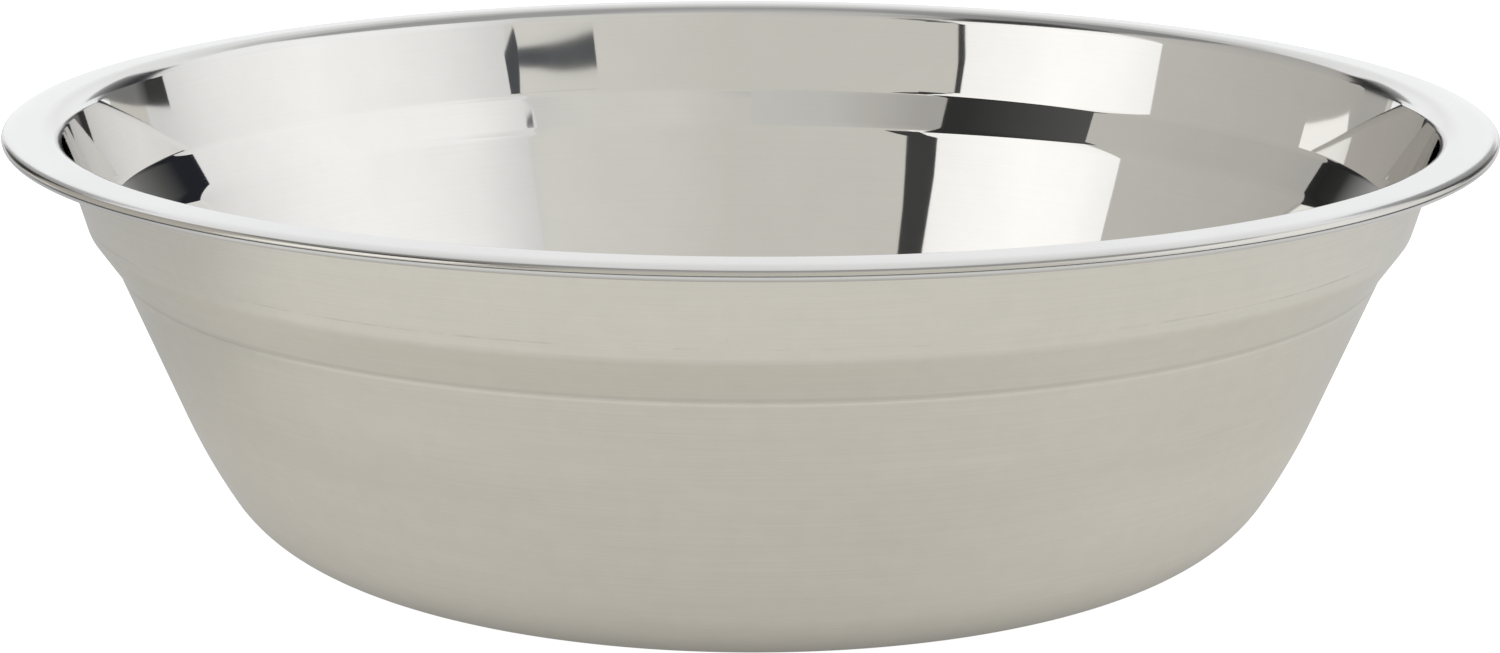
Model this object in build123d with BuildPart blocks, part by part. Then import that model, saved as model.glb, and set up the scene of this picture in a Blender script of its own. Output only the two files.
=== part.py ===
from build123d import *
import os
from math import asin, cos, degrees, radians, sin

# A deep-drawn stainless-steel mixing bowl: one round pressing of thin sheet that stands on its flat base.
# +Z is up, and the origin is the middle of the base's underside. Sizes are in millimetres, slopes in degrees
# from the horizontal.

# The whole bowl
rim_radius = 200.0           # outermost radius, at the rolled edge
height = 114.8               # from the table to the highest ring of the flange
sheet = 0.7                  # thickness of the sheet

# The body, from the base upwards. Radii of bends are measured on the outside.
base_radius = 116.5          # flat disc that the bowl stands on
corner_radius = 32.5         # round corner between base and belly
corner_slope = 58.7          # slope where the corner runs into the belly
belly_radius = 157.0         # long shallow curve of the belly
wall_slope = 67.9            # straight wall above the belly
wall_length = 40.3
shoulder_radius = 3.0        # small shoulder that turns the wall upright at the lower draw ring
crease_radius = 0.6          # tight crease between that shoulder and the cone
cone_slope = 55.5            # cone between the lower and the upper draw ring
cone_length = 12.3
ring_radius = 7.0            # soft bend of the upper draw ring
neck_slope = 74.0            # neck between the upper draw ring and the flange

# The rim. Radii of bends are measured on the top side.
bend_radius = 5.7            # bend between neck and flange
crown_radius = 94.0          # the flange is lightly crowned, and falls towards its edge
brow_start = 195.5           # distance from the axis at which the flange begins to round over
brow_turn = 15.0             # how far it rounds over before the rolled edge
roll_radius = 1.4            # rolled edge
roll_turn = 240.0            # how far the edge is rolled round and under

# The bowl is a single piece. Its section is drawn as the middle line of the sheet, given the sheet's
# thickness, and turned round Z.
half = sheet / 2

with BuildPart() as bowl_shell:
    with BuildSketch(Plane.XZ):
        with BuildLine():
            base = Line((0, half), (base_radius, half))
            corner = JernArc(base @ 1, base % 1, corner_radius - half, corner_slope)
            belly = JernArc(corner @ 1, corner % 1, belly_radius - half, wall_slope - corner_slope)
            wall = PolarLine(belly @ 1, wall_length, wall_slope)

            shoulder = JernArc(wall @ 1, wall % 1, shoulder_radius - half, 90 - wall_slope)
            crease = JernArc(shoulder @ 1, shoulder % 1, crease_radius + half, cone_slope - 90)
            cone = PolarLine(crease @ 1, cone_length, cone_slope)
            ring = JernArc(cone @ 1, cone % 1, ring_radius - half, neck_slope - cone_slope)

            bend_rise = (bend_radius - half) * (1 - cos(radians(neck_slope)))
            neck_rise = height - half - bend_rise - (ring @ 1).Y
            neck = PolarLine(ring @ 1, neck_rise, neck_slope, length_mode=LengthMode.VERTICAL)
            bend = JernArc(neck @ 1, neck % 1, bend_radius - half, -neck_slope)

            flange_width = brow_start - (bend @ 1).X
            fall = degrees(asin(flange_width / (crown_radius - half)))
            flange = JernArc(bend @ 1, bend % 1, crown_radius - half, -fall)

            # The brow is as round as it must be for the rolled edge to end at the rim's radius.
            edge_slope = fall + brow_turn
            roll_reach = (roll_radius - half) * (1 - sin(radians(edge_slope)))
            brow_reach = rim_radius - half - roll_reach - (flange @ 1).X
            brow_radius = brow_reach / (sin(radians(edge_slope)) - sin(radians(fall)))
            brow = JernArc(flange @ 1, flange % 1, brow_radius, -brow_turn)
            JernArc(brow @ 1, brow % 1, roll_radius - half, -roll_turn)
        trace(line_width=sheet)
    revolve(axis=Axis.Z)

bowl_shell.part.label = "bowl_shell"

os.makedirs("parts", exist_ok=True)
export_step(bowl_shell.part, "parts/bowl_shell.step")

print("outside size", bowl_shell.part.bounding_box().size)
print("lower draw ring at radius", round((crease @ 1).X, 2), "and height", round((crease @ 1).Y, 2))
print("upper draw ring at radius", round((ring @ 0.5).X, 2), "and height", round((ring @ 0.5).Y, 2))
print("flange from radius", round((bend @ 1).X, 2), "falls by", round(edge_slope, 2), "degrees")
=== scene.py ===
"""A deep-drawn stainless-steel mixing bowl on a pale studio floor.

The bowl is one round pressing. Its section is drawn once, as a chain of straight and round stretches, and
turned into one closed skin that stands for the CAD node. The outside is satin with a grain that runs round
the bowl. The inside, the flange and the rolled edge are polished. Lengths are in metres, angles in degrees.
"""

import math

import bpy
from mathutils import Euler, Matrix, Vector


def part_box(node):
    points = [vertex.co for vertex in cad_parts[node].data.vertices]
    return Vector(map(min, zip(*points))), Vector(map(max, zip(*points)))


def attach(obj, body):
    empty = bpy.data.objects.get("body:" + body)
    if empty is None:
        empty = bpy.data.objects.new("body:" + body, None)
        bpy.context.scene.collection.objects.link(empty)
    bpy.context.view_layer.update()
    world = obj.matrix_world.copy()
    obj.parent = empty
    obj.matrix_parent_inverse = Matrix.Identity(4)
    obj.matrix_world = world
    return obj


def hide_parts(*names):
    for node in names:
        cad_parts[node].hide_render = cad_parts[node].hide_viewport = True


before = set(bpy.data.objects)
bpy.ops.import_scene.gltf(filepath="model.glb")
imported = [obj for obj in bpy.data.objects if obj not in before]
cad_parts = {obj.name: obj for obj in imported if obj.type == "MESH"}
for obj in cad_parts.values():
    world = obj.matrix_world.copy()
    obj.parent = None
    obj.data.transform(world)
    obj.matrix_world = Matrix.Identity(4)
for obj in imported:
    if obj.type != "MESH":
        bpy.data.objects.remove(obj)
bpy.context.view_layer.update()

# ---------------------------------------------------------------- sizes
MM = 0.001
low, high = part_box("bowl_shell")
rim_radius = (high.x - low.x) / 2
height = high.z - low.z
sheet = 0.7 * MM
half_sheet = sheet / 2

base_radius = 116.5 * MM
corner_radius = 32.5 * MM
corner_slope = 58.7
belly_radius = 157.0 * MM
wall_slope = 67.9
wall_length = 40.3 * MM
shoulder_radius = 3.0 * MM
crease_radius = 0.6 * MM
cone_slope = 55.5
cone_length = 12.3 * MM
ring_radius = 7.0 * MM
neck_slope = 74.0
bend_radius = 5.7 * MM
crown_radius = 94.0 * MM
brow_start = 195.5 * MM
brow_turn = 15.0
roll_radius = 1.4 * MM
roll_turn = 240.0

lower_ring_height = 77.1 * MM
upper_ring_height = 88.2 * MM
scratch_height = 91.3 * MM   # a broken scratch runs round just above the upper draw ring

around = 344                 # faces round the bowl


# ---------------------------------------------------------------- the section
class Section:
    """A chain of stations along the middle of the sheet: (radius, height, slope in radians, zone)."""

    def __init__(self, radius, level):
        self.at = (radius, level)
        self.slope = 0.0
        self.stations = [(radius, level, 0.0, "body")]

    def straight(self, length, steps, zone="body"):
        radius, level = self.at
        for k in range(1, steps + 1):
            run = length * k / steps
            point = (radius + run * math.cos(self.slope), level + run * math.sin(self.slope))
            self.stations.append((*point, self.slope, zone))
        self.at = point

    def bend(self, radius_of_bend, turn, steps, zone="body"):
        side = math.copysign(1, turn)
        centre_r = self.at[0] - side * radius_of_bend * math.sin(self.slope)
        centre_z = self.at[1] + side * radius_of_bend * math.cos(self.slope)
        start = self.slope
        for k in range(1, steps + 1):
            slope = start + math.radians(turn) * k / steps
            point = (centre_r + side * radius_of_bend * math.sin(slope),
                     centre_z - side * radius_of_bend * math.cos(slope))
            self.stations.append((*point, slope, zone))
        self.at = point
        self.slope = slope


def draw_section():
    line = Section(0.0, half_sheet)
    line.straight(base_radius, 10)
    line.bend(corner_radius - half_sheet, corner_slope, 24)
    line.bend(belly_radius - half_sheet, wall_slope - corner_slope, 6)
    line.straight(wall_length, 12)
    line.bend(shoulder_radius - half_sheet, 90 - wall_slope, 5, "step")
    line.bend(crease_radius + half_sheet, cone_slope - 90, 6, "step")
    line.straight(cone_length, 6)
    line.bend(ring_radius - half_sheet, neck_slope - cone_slope, 6)

    bend_rise = (bend_radius - half_sheet) * (1 - math.cos(math.radians(neck_slope)))
    neck_rise = height - half_sheet - bend_rise - line.at[1]
    line.straight(neck_rise / math.sin(line.slope), 5)
    line.bend(bend_radius - half_sheet, -neck_slope, 18, "rim")

    # The flange falls from its crown, rounds over along the brow, and its edge is rolled under.
    crown = crown_radius - half_sheet
    roll = roll_radius - half_sheet
    fall = math.asin((brow_start - line.at[0]) / crown)
    line.bend(crown, -math.degrees(fall), 5, "rim")
    edge_slope = fall + math.radians(brow_turn)
    brow_reach = rim_radius - half_sheet - roll * (1 - math.sin(edge_slope)) - line.at[0]
    line.bend(brow_reach / (math.sin(edge_slope) - math.sin(fall)), -brow_turn, 8, "rim")
    line.bend(roll, -roll_turn, 30, "roll")
    return line.stations


def eased(start, end, steps):
    """Points between two sloped points (radius, height, slope), leaving and arriving along their slopes."""
    reach = math.hypot(end[0] - start[0], end[1] - start[1])
    points = []
    for k in range(1, steps):
        t = k / steps
        lead = t * t * t - 2 * t * t + t
        trail = t * t * t - t * t
        ease = 3 * t * t - 2 * t * t * t
        slope = start[2] * (1 - t) + end[2] * t
        radius = (start[0] + (end[0] - start[0]) * ease
                  + reach * (lead * math.cos(start[2]) + trail * math.cos(end[2])))
        level = (start[1] + (end[1] - start[1]) * ease
                 + reach * (lead * math.sin(start[2]) + trail * math.sin(end[2])))
        points.append((radius, level, slope))
    return points


def skin_line(stations):
    """The closed skin's line from axis to axis: outside, round the cut edge of the sheet, and back inside.
    Each entry is (radius, height, normal in r and z, finish). Inside, the lower ring is one soft bend."""
    outside = []
    upper = []
    for r, z, a, zone in stations:
        side_r, side_z = half_sheet * math.sin(a), half_sheet * math.cos(a)
        outside.append((r + side_r, z - side_z, math.sin(a), -math.cos(a), "outside"))
        upper.append((r - side_r, z + side_z, a, zone))
    stepped = [k for k, entry in enumerate(upper) if entry[3] == "step"]
    before, after = upper[stepped[0] - 1], upper[stepped[-1] + 1]
    soft = [(*point, "body") for point in eased(before[:3], after[:3], 9)]
    upper = upper[:stepped[0]] + soft + upper[stepped[-1] + 1:]
    finish = {"body": "inside", "rim": "rim", "roll": "roll"}
    inside = [(r, z, -math.sin(a), math.cos(a), finish[zone]) for r, z, a, zone in upper]

    end_r, end_z, end_slope, _ = stations[-1]
    cut = []
    steps = 6
    for k in range(1, steps):
        angle = end_slope - math.pi / 2 + math.pi * k / steps
        cut.append((end_r + half_sheet * math.cos(angle), end_z + half_sheet * math.sin(angle),
                    math.cos(angle), math.sin(angle), "roll"))
    return outside + cut + inside[::-1]


# ---------------------------------------------------------------- the mesh
FINISHES = ["outside", "inside", "rim", "roll"]


def turned_skin(name, line):
    """Turns the line round Z into one closed mesh with a single vertex at each end on the axis."""
    rings = line[1:-1]
    angles = [2 * math.pi * k / around for k in range(around)]
    first, last = line[0], line[-1]
    verts = [(0.0, 0.0, first[1])]
    normals = [(0.0, 0.0, first[3])]
    for r, z, nr, nz, _ in rings:
        for a in angles:
            verts.append((r * math.cos(a), r * math.sin(a), z))
            normals.append((nr * math.cos(a), nr * math.sin(a), nz))
    verts.append((0.0, 0.0, last[1]))
    normals.append((0.0, 0.0, last[3]))

    end = len(verts) - 1
    faces = []
    finish = []
    for k in range(around):
        nxt = (k + 1) % around
        faces.append((0, 1 + nxt, 1 + k))
        finish.append(FINISHES.index(rings[0][4]))
        for j in range(len(rings) - 1):
            here = 1 + j * around
            there = here + around
            faces.append((here + k, here + nxt, there + nxt, there + k))
            finish.append(FINISHES.index(rings[j + 1][4]))
        top = 1 + (len(rings) - 1) * around
        faces.append((end, top + k, top + nxt))
        finish.append(FINISHES.index(rings[-1][4]))

    mesh = bpy.data.meshes.new(name)
    mesh.from_pydata(verts, [], faces)
    mesh.polygons.foreach_set("material_index", finish)
    mesh.polygons.foreach_set("use_smooth", [True] * len(faces))
    mesh.update()
    mesh.normals_split_custom_set_from_vertices(normals)
    piece = bpy.data.objects.new(name, mesh)
    bpy.context.scene.collection.objects.link(piece)
    return piece


# ---------------------------------------------------------------- materials
class Nodes:
    """A material's node tree, with short ways to add and join nodes."""

    def __init__(self, name):
        self.material = bpy.data.materials.new(name)
        self.material.use_nodes = True
        self.tree = self.material.node_tree
        self.shader = self.tree.nodes["Principled BSDF"]

    def add(self, kind, inputs=(), **settings):
        node = self.tree.nodes.new("ShaderNode" + kind)
        for key, value in settings.items():
            setattr(node, key, value)
        for socket, value in dict(inputs).items():
            self.feed(node.inputs[socket], value)
        return node

    def feed(self, socket, value):
        if isinstance(value, bpy.types.NodeSocket):
            self.tree.links.new(value, socket)
        else:
            socket.default_value = value

    def maths(self, operation, a, b=0.0):
        node = self.add("Math", operation=operation)
        self.feed(node.inputs[0], a)
        self.feed(node.inputs[1], b)
        return node.outputs[0]

    def remap(self, value, from_low, from_high, to_low, to_high):
        return self.add("MapRange", {"Value": value, "From Min": from_low, "From Max": from_high,
                                     "To Min": to_low, "To Max": to_high}).outputs["Result"]

    def noise(self, vector, scale, detail=4.0, roughness=0.55):
        return self.add("TexNoise", {"Vector": vector, "Scale": scale, "Detail": detail,
                                     "Roughness": roughness}).outputs["Fac"]

    def band(self, value, middle, half_width):
        """1 near the middle, 0 from half_width away from it on, and straight between."""
        away = self.maths("ABSOLUTE", self.maths("SUBTRACT", value, middle))
        return self.remap(away, half_width * 0.6, half_width, 1.0, 0.0)

    def product(self, first, *others):
        for factor in others:
            first = self.maths("MULTIPLY", first, factor)
        return first

    def round_coordinates(self):
        """The piece's own point, its x, y and z, and a length that grows across the grain, up the sheet."""
        point = self.add("TexCoord").outputs["Object"]
        axes = self.add("SeparateXYZ", {"Vector": point}).outputs
        x_squared = self.maths("MULTIPLY", axes["X"], axes["X"])
        y_squared = self.maths("MULTIPLY", axes["Y"], axes["Y"])
        radius = self.maths("SQRT", self.maths("ADD", x_squared, y_squared))
        return point, axes, self.maths("ADD", radius, axes["Z"])

    def grain_vector(self, axes, across, round_scale, across_scale):
        return self.add("CombineXYZ", {"X": self.maths("MULTIPLY", axes["X"], round_scale),
                                       "Y": self.maths("MULTIPLY", axes["Y"], round_scale),
                                       "Z": self.maths("MULTIPLY", across, across_scale)}).outputs["Vector"]

    def shaded(self, colour, shade):
        """The colour, made lighter and darker by the shade."""
        level = self.add("CombineColor", {"Red": shade, "Green": shade, "Blue": shade}).outputs["Color"]
        tint = self.add("Mix", {0: 1.0, "A": colour, "B": level}, data_type="RGBA", blend_type="MULTIPLY")
        return tint.outputs["Result"]

    def bump(self, relief, strength, depth):
        node = self.add("Bump", {"Strength": strength, "Distance": depth, "Height": relief})
        self.feed(self.shader.inputs["Normal"], node.outputs["Normal"])


def steel(name, edge_tint):
    """Bare steel. The edge tint keeps it from turning into a white mirror where it is seen edge on."""
    made = Nodes(name)
    made.shader.inputs["Metallic"].default_value = 1.0
    made.shader.inputs["Specular Tint"].default_value = (edge_tint, edge_tint, edge_tint, 1.0)
    return made


def outside_satin():
    """Satin steel: fine lines round the bowl, faint clouds, mottle, pits, a broken scratch, a thin line of
    painted shade along the lower draw ring, and browner patches on the cone between the two rings."""
    clean = (0.735, 0.700, 0.611, 1.0)
    browner = (0.713, 0.675, 0.573, 1.0)
    satin = steel("satin_steel", 0.90)
    point, axes, across = satin.round_coordinates()

    lines = satin.noise(satin.grain_vector(axes, across, 22.0, 2400.0), 1.0, 3.0, 0.6)
    clouds = satin.noise(satin.grain_vector(axes, across, 6.0, 30.0), 1.0, 5.0, 0.6)
    mottle = satin.noise(point, 160.0, 3.0, 0.6)
    pits = satin.add("TexVoronoi", {"Vector": point, "Scale": 260.0}, feature="F1").outputs["Distance"]
    broken = satin.remap(satin.noise(point, 26.0, 5.0, 0.7), 0.50, 0.62, 0.0, 0.16)
    scratch = satin.maths("MULTIPLY", satin.band(axes["Z"], scratch_height, 0.25 * MM), broken)
    # painted shade: a thin dark line in the base colour along the lower draw ring
    painted_crease_shade = satin.band(axes["Z"], lower_ring_height, 0.9 * MM)
    shade = satin.product(
        satin.remap(lines, 0.3, 0.7, 0.975, 1.025),
        satin.remap(clouds, 0.3, 0.7, 0.965, 1.035),
        satin.remap(mottle, 0.3, 0.7, 0.985, 1.015),
        satin.remap(pits, 0.03, 0.07, 0.93, 1.0),
        satin.maths("SUBTRACT", 1.0, scratch),
        satin.remap(painted_crease_shade, 0.0, 1.0, 1.0, 0.93))

    cone_middle = (lower_ring_height + upper_ring_height) / 2
    cone_reach = (upper_ring_height - lower_ring_height) * 0.6
    cone = satin.band(axes["Z"], cone_middle, cone_reach)
    stains = satin.noise(satin.grain_vector(axes, across, 12.0, 60.0), 1.0, 5.0, 0.65)
    patches = satin.maths("MULTIPLY", cone, satin.remap(stains, 0.42, 0.68, 0.0, 1.0))
    brown = satin.add("Mix", {0: patches, "A": clean, "B": browner}, data_type="RGBA")
    satin.feed(satin.shader.inputs["Base Color"], satin.shaded(brown.outputs["Result"], shade))

    satin.feed(satin.shader.inputs["Roughness"], satin.remap(clouds, 0.3, 0.7, 0.31, 0.37))
    grain = satin.noise(satin.grain_vector(axes, across, 14.0, 5200.0), 1.0, 3.0, 0.6)
    satin.bump(grain, 0.12, 0.04 * MM)
    satin.shader.inputs["Anisotropic"].default_value = 0.5
    satin.shader.inputs["Anisotropic Rotation"].default_value = 0.25
    tangent = satin.add("Tangent", direction_type="RADIAL", axis="Z")
    satin.feed(satin.shader.inputs["Tangent"], tangent.outputs["Tangent"])
    return satin.material


def polished(name, colour, roughness_low, roughness_high):
    """Bright steel with very slight waves, polishing lines round the bowl, smears and water marks."""
    bright = steel(name, 0.95)
    point, axes, across = bright.round_coordinates()
    lines = bright.noise(bright.grain_vector(axes, across, 16.0, 1500.0), 1.0, 3.0, 0.6)
    marks = bright.noise(point, 34.0, 5.0, 0.65)
    shade = bright.product(
        bright.remap(lines, 0.3, 0.7, 0.992, 1.008),
        bright.remap(marks, 0.3, 0.7, 0.98, 1.02))
    bright.feed(bright.shader.inputs["Base Color"], bright.shaded((*colour, 1.0), shade))

    smears = bright.noise(point, 14.0, 4.0)
    roughness = bright.remap(smears, 0.35, 0.7, roughness_low, roughness_high)
    bright.feed(bright.shader.inputs["Roughness"], roughness)
    waves = bright.noise(bright.grain_vector(axes, axes["Z"], 45.0, 14.0), 1.0, 1.0, 0.4)
    bright.bump(waves, 1.0, 0.03 * MM)
    return bright.material


# ---------------------------------------------------------------- the bowl
bowl = turned_skin("bowl", skin_line(draw_section()))
bowl.data.materials.append(outside_satin())
bowl.data.materials.append(polished("polished_inside", (0.79, 0.784, 0.765), 0.02, 0.04))
bowl.data.materials.append(polished("polished_rim", (0.77, 0.767, 0.757), 0.11, 0.15))
# painted shade: the rolled edge is the same polished steel as the flange, given a darker colour so that it
# looks darker
bowl.data.materials.append(polished("rolled_edge_painted_shade", (0.665, 0.650, 0.612), 0.13, 0.18))
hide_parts("bowl_shell")
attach(bowl, "root")


# ---------------------------------------------------------------- the studio
floor_level = -0.3 * MM      # a hair below the bowl, so that their faces don't meet
table_level = -0.1 * MM      # the part of the table that the bowl mirrors lies just over the floor
card_light = 0.81            # strength of every card and of the world behind them
card_distance = 8.0          # from the middle of the rim to a card of layer 0
layer_gap = 0.05             # how much nearer each further layer hangs


def emission(name, attribute):
    """A light-giving surface whose colour comes from an attribute of the mesh's own points."""
    material = bpy.data.materials.new(name)
    material.use_nodes = True
    tree = material.node_tree
    tree.nodes.remove(tree.nodes["Principled BSDF"])
    light = tree.nodes.new("ShaderNodeEmission")
    colour = tree.nodes.new("ShaderNodeAttribute")
    colour.attribute_name = attribute
    tree.links.new(colour.outputs["Color"], light.inputs["Color"])
    tree.links.new(light.outputs["Emission"], tree.nodes["Material Output"].inputs["Surface"])
    return material


def between(stops, value):
    """The colour at value, from (value, colour) stops in rising order."""
    if value <= stops[0][0]:
        return stops[0][1]
    for (low_value, low_colour), (high_value, high_colour) in zip(stops, stops[1:]):
        if value <= high_value:
            part = (value - low_value) / (high_value - low_value)
            return tuple(a + (b - a) * part for a, b in zip(low_colour, high_colour))
    return stops[-1][1]


def ramp(value, start, end):
    """0 up to the start, 1 from the end on, and straight between them."""
    return min(max((value - start) / (end - start), 0.0), 1.0)


def grey(level, warmth=0.0):
    return (level * (1 + warmth), level, level * (1 - 1.6 * warmth))


def mirrored_only(name, verts, faces, colours):
    """A stage piece that gives off its own light, and that only mirrored light sees."""
    mesh = bpy.data.meshes.new(name)
    mesh.from_pydata(verts, [], faces)
    layer = mesh.color_attributes.new("glow", "FLOAT_COLOR", "POINT")
    for entry, colour in zip(layer.data, colours):
        entry.color = colour
    mesh.materials.append(emission(name, "glow"))
    piece = bpy.data.objects.new(name, mesh)
    bpy.context.scene.collection.objects.link(piece)
    piece.visible_camera = False
    piece.visible_diffuse = False
    piece.visible_shadow = False


def card(name, corners, stops, layer=0, top_stops=None):
    """A curved card round the bowl that only mirrored light sees. Its corners are (azimuth, elevation) from
    the middle of the rim: lower left, lower right, upper right, upper left. Azimuth 0 is +Y, away from the
    camera, and 90 is +X. The stops give its colour by azimuth, and the top stops that of its upper edge.
    Where two cards overlap, the one of the higher layer hangs in front."""
    distance = card_distance - layer_gap * layer
    across, upward = 48, 12
    verts, colours = [], []
    for i in range(across + 1):
        for j in range(upward + 1):
            u, v = i / across, j / upward
            azimuth, elevation = (
                (corners[0][k] * (1 - u) + corners[1][k] * u) * (1 - v)
                + (corners[3][k] * (1 - u) + corners[2][k] * u) * v for k in (0, 1))
            lower = between(stops, azimuth)
            upper = between(top_stops or stops, azimuth)
            colours.append((*(card_light * (a * (1 - v) + b * v) for a, b in zip(lower, upper)), 1.0))
            turn, lift = math.radians(azimuth), math.radians(elevation)
            flat = distance * math.cos(lift)
            verts.append((flat * math.sin(turn), flat * math.cos(turn), height + distance * math.sin(lift)))
    row = upward + 1
    faces = [(i * row + j, i * row + j + 1, (i + 1) * row + j + 1, (i + 1) * row + j)
             for i in range(across) for j in range(upward)]
    mirrored_only(name, verts, faces, colours)


def world_light():
    world = bpy.data.worlds.new("studio_world")
    world.use_nodes = True
    background = world.node_tree.nodes["Background"]
    background.inputs["Color"].default_value = (0.82, 0.80, 0.745, 1.0)
    background.inputs["Strength"].default_value = card_light
    bpy.context.scene.world = world


def floor():
    """A plain pale floor. Most of its white is light that it gives off itself, so it hardly takes a shadow.
    In mirrored light the table shade lies over it, and the bowl mirrors that instead."""
    reach = 7.5
    corners = [(-reach, -reach, 0), (reach, -reach, 0), (reach, reach, 0), (-reach, reach, 0)]
    mesh = bpy.data.meshes.new("floor")
    mesh.from_pydata(corners, [], [(0, 1, 2, 3)])
    plane = bpy.data.objects.new("floor", mesh)
    plane.location.z = floor_level
    bpy.context.scene.collection.objects.link(plane)
    made = Nodes("floor")
    made.shader.inputs["Base Color"].default_value = (0.585, 0.60, 0.65, 1.0)
    made.shader.inputs["Roughness"].default_value = 0.9
    made.shader.inputs["Specular IOR Level"].default_value = 0.1
    made.shader.inputs["Emission Color"].default_value = (1.0, 1.0, 1.0, 1.0)
    made.shader.inputs["Emission Strength"].default_value = 0.92
    mesh.materials.append(made.material)


def table_shade():
    """What the bowl mirrors of the table, as light that the disc gives off: a painted shadow under the bowl,
    pale and cooler further out, painted shade on the left and less on the right, painted light close by on
    the right, and ending in a dark room, except behind."""
    # painted shadow of the bowl: the glow is darkest at the bowl's foot and pale from about 0.155 m out
    by_radius = [(base_radius, grey(0.08)), (0.125, grey(0.26)), (0.138, grey(0.50)), (0.155, grey(0.625)),
                 (0.200, grey(0.64)), (0.245, (0.71, 0.715, 0.72)), (0.285, (0.83, 0.84, 0.86)),
                 (0.340, (0.87, 0.885, 0.92))]
    by_azimuth = [(-120, grey(1.0)), (-100, grey(0.72)), (-45, grey(0.72)), (-15, grey(1.0)),
                  (20, grey(0.97)), (60, grey(0.84)), (85, grey(0.95)), (130, grey(0.98)), (180, grey(1.0))]
    near_right = [(55, grey(1.0)), (85, grey(1.09)), (135, grey(1.09)), (165, grey(1.0))]
    far_end = [(-75, grey(0.12)), (-45, grey(1.0)), (45, grey(1.0)), (75, grey(0.12))]
    close_radii = [base_radius + 4 * MM * k for k in range(60)]
    radii = [0.0] + close_radii + [0.5, 0.6, 0.7, 0.8, 1.0, 2.0, 7.0]
    sectors = 120
    verts, colours = [], []
    for r in radii:
        shaded = ramp(r, 0.19, 0.26)
        ending = ramp(r, 0.48, 0.68)
        for k in range(sectors):
            azimuth = -180 + 360 * k / sectors
            side = 1 - shaded * (1 - between(by_azimuth, azimuth)[1])
            side *= 1 - (1 - shaded) * (1 - between(near_right, azimuth)[1])
            side *= 1 - ending * (1 - between(far_end, azimuth)[1])
            turn = math.radians(azimuth)
            verts.append((r * math.sin(turn), r * math.cos(turn), table_level))
            colours.append((*(c * side for c in between(by_radius, r)), 1.0))
    faces = [(j * sectors + k, j * sectors + (k + 1) % sectors,
              (j + 1) * sectors + (k + 1) % sectors, (j + 1) * sectors + k)
             for j in range(len(radii) - 1) for k in range(sectors)]
    mirrored_only("table_shade", verts, faces, colours)


def backdrop():
    """The pale backdrop behind the bowl, the lit ceiling above it, and the dark gaps at its two ends."""
    pale = [(-18, (1.33, 1.34, 1.36)), (-9, (1.27, 1.28, 1.29)), (0, (1.20, 1.21, 1.21)),
            (9, (1.27, 1.28, 1.29)), (18, (1.33, 1.34, 1.36))]
    card("backdrop", [(-32, -3), (32, -3), (32, 18), (-32, 18)], pale)
    card("backdrop_top", [(-42, 18), (44, 18), (44, 42), (-42, 42)], pale, -2,
         top_stops=[(-18, grey(1.0)), (0, grey(1.04)), (18, grey(1.0))])
    card("lit_ceiling", [(-42, 42), (44, 42), (44, 90), (-42, 90)],
         [(-42, grey(0.74)), (-16, grey(0.90)), (-10, grey(1.10)), (10, grey(1.10)), (16, grey(0.90)),
          (44, grey(0.78))], top_stops=[(0, grey(0.42))])
    card("gap_right_low", [(27, 1.3), (51.6, 7.0), (51.6, 9.8), (27, 9.8)],
         [(30, grey(0.30)), (36, grey(0.26)), (42, grey(0.26)), (46, grey(0.06)), (52, grey(0.06))], 2)
    card("gap_right_high", [(20, 9.8), (47.4, 9.8), (43.6, 28), (20, 28)],
         [(20, grey(0.50)), (27, grey(0.23)), (33, grey(0.115)), (39, (0.024, 0.025, 0.032)),
          (47, (0.024, 0.025, 0.034))], 2)
    card("gap_left_low", [(-43, 5.4), (-28, 1.5), (-28, 9.8), (-44, 9.8)],
         [(-44, grey(0.08)), (-38, grey(0.11)), (-30, grey(0.12))], 2)
    card("gap_left_high", [(-48, 9.8), (-22, 9.8), (-20, 27), (-38, 27)],
         [(-45, grey(0.04)), (-38, grey(0.026)), (-33, grey(0.04)), (-27, grey(0.31)), (-20, grey(0.6))], 2)


def right_wall():
    """The white wall on the right, falling off toward the camera."""
    card("right_wall_low", [(44, -3), (133.0, -3), (130.0, 40), (44, 40)],
         [(48, grey(0.83)), (57, grey(0.98)), (69, grey(1.16)), (81, grey(1.28)), (90, grey(1.32)),
          (105, grey(1.24)), (117, grey(1.10)), (131, grey(1.02))],
         top_stops=[(48, grey(1.30)), (63, grey(1.36)), (90, grey(1.37)), (105, grey(1.34)),
                    (117, grey(1.28)), (124, grey(1.10)), (131, grey(0.92))])
    card("right_wall_high", [(44, 40), (130, 40), (121.5, 54), (44, 46)],
         [(48, grey(1.30)), (57, grey(1.31)), (66, grey(1.36)), (96, grey(1.35)), (108, grey(1.27)),
          (121, grey(1.03))])
    card("right_fall_off", [(128, 5), (176, 5), (176, 60), (112, 60)],
         [(121, grey(0.86)), (134, (0.95, 0.935, 0.89)), (150, (0.88, 0.865, 0.81)),
          (176, (0.82, 0.80, 0.74))], -1,
         top_stops=[(116, grey(0.86)), (134, (0.92, 0.91, 0.855)), (158, (0.90, 0.885, 0.83)),
                    (176, (0.82, 0.80, 0.745))])


def stand():
    """A thin stand with its arm, between the right wall and the camera."""
    dark = [(0, (0.10, 0.105, 0.115))]
    card("stand", [(131.6, 19.9), (133.0, 19.9), (133.9, 21.2), (130.8, 20.9)], dark, 2)
    card("stand_tip", [(130.8, 20.9), (133.9, 21.2), (133.3, 21.6), (133.0, 21.6)], dark, 2)
    card("stand_arm", [(133.7, 20.9), (149.4, 22.0), (149.0, 22.7), (133.9, 21.3)], dark, 2)
    card("stand_top", [(119.2, 53.1), (120.9, 53.5), (121.1, 53.9), (119.6, 53.4)], dark, 2)


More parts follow.
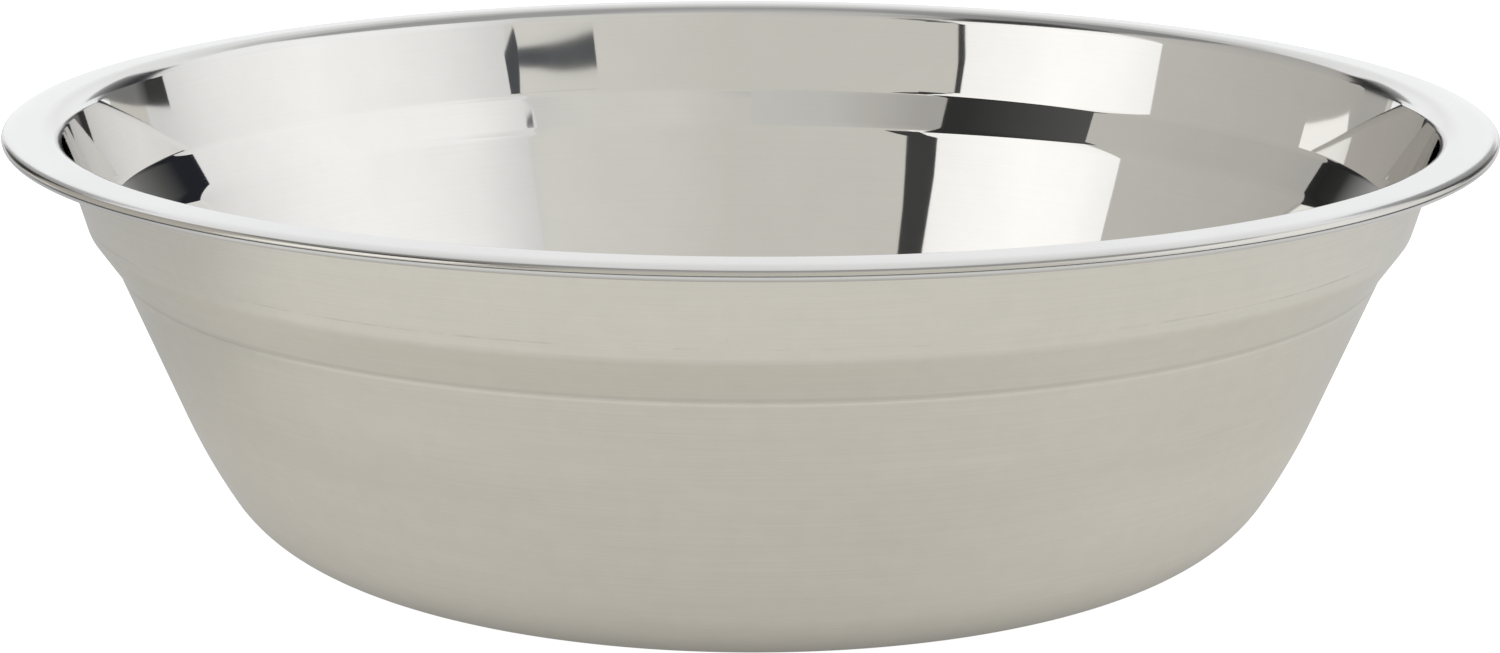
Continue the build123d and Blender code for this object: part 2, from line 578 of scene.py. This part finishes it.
def softbox():
    """The softbox on the left, its flag above, the bars of its stand, and the dim room behind the camera."""
    card("softbox", [(-136.4, 10), (-96.7, 10), (-96.7, 45), (-142.2, 45)],
         [(-140, grey(1.33, 0.01)), (-130, grey(1.44, 0.01)), (-117, grey(1.52, 0.01)),
          (-105, grey(1.48, 0.01)), (-96.7, grey(1.36, 0.01))])
    card("flag", [(-139.5, 42), (-93, 42), (-92, 60), (-122.5, 60)],
         [(-131, grey(0.042)), (-122, grey(0.046)), (-117, grey(0.058)), (-94, grey(0.115))], 2)
    bars = {
        "bar_low": [(-139.4, 19.8), (-138.3, 19.8), (-137.2, 21.4), (-138.6, 21.4)],
        "bar_middle": [(-138.6, 21.4), (-137.2, 21.4), (-138.4, 22.5), (-139.6, 22.5)],
        "bar_join": [(-139.6, 22.5), (-138.4, 22.5), (-138.9, 27), (-139.8, 27)],
        "bar_high": [(-145.4, 27), (-140.4, 27), (-138.2, 31), (-144.7, 31)],
        "bar_top": [(-144.7, 31), (-138.2, 31), (-139.9, 36), (-147.0, 36)],
        "bar_end": [(-147.0, 36), (-139.9, 36), (-139.9, 42.5), (-148.5, 42.5)],
    }
    for name, corners in bars.items():
        card(name, corners, [(0, grey(0.07))], 4)
    card("dim_back", [(-180, 47), (-124, 47), (-122, 62), (-180, 62)],
         [(-180, (0.79, 0.785, 0.755)), (-158, grey(0.74, 0.02)), (-147, grey(0.65, 0.03)),
          (-133, grey(0.54, 0.03))], -2)


def left_wall():
    """The grey wall on the left, with a sheet of white paper on it."""
    card("left_wall", [(-96.7, -3), (-34, -3), (-34, 46), (-96.7, 47)],
         [(-96.7, grey(0.715, 0.035)), (-80, grey(0.68, 0.035)), (-65, grey(0.645, 0.035)),
          (-50, grey(0.60, 0.035)), (-42, grey(0.56, 0.03))])
    card("paper", [(-58, 2.5), (-42.3, 3.6), (-45.8, 5.6), (-58, 8.1)], [(0, grey(1.30, 0.02))], 3)


def upper_room():
    """The dimmer room above."""
    overhead = [(0, grey(0.50))]
    card("ceiling", [(-180, 60), (180, 60), (180, 90), (-180, 90)], [(0, grey(0.72))], -4,
         top_stops=overhead)
    card("ceiling_left", [(-124, 44), (-42, 44), (-42, 90), (-124, 90)], [(0, grey(0.30))], -3,
         top_stops=overhead)
    card("ceiling_right", [(44, 45), (130, 45), (130, 90), (44, 90)], overhead, -3)


def fill_light():
    """A large soft lamp above the camera, kept out of the mirrored picture."""
    data = bpy.data.lights.new("fill", "AREA")
    data.shape = "DISK"
    data.size = 2.5
    data.energy = 22.0
    light = bpy.data.objects.new("fill", data)
    light.location = (0.0, -1.6, 2.4)
    light.rotation_euler = (-light.location).to_track_quat("-Z", "Y").to_euler()
    light.visible_glossy = False
    bpy.context.scene.collection.objects.link(light)


def camera():
    """The photographer's place: in front of the bowl, above the rim, looking down with a very slight tilt."""
    away = 0.8965
    above_rim = 0.15923
    downward = 13.893
    tilt = 0.1814
    data = bpy.data.cameras.new("camera")
    data.lens = 79.90
    data.sensor_width = 36.0
    data.clip_start = 0.01
    data.clip_end = 100.0
    view = bpy.data.objects.new("camera", data)
    view.location = (0.0, -away, height + above_rim)
    look = Euler((math.radians(90 - downward), 0.0, 0.0)).to_matrix()
    view.rotation_euler = (look @ Matrix.Rotation(math.radians(tilt), 3, "Z")).to_euler()
    bpy.context.scene.collection.objects.link(view)
    bpy.context.scene.camera = view


world_light()
floor()
table_shade()
backdrop()
right_wall()
stand()
softbox()
left_wall()
upper_room()
fill_light()
camera()
bpy.context.scene.view_settings.view_transform = "Standard"
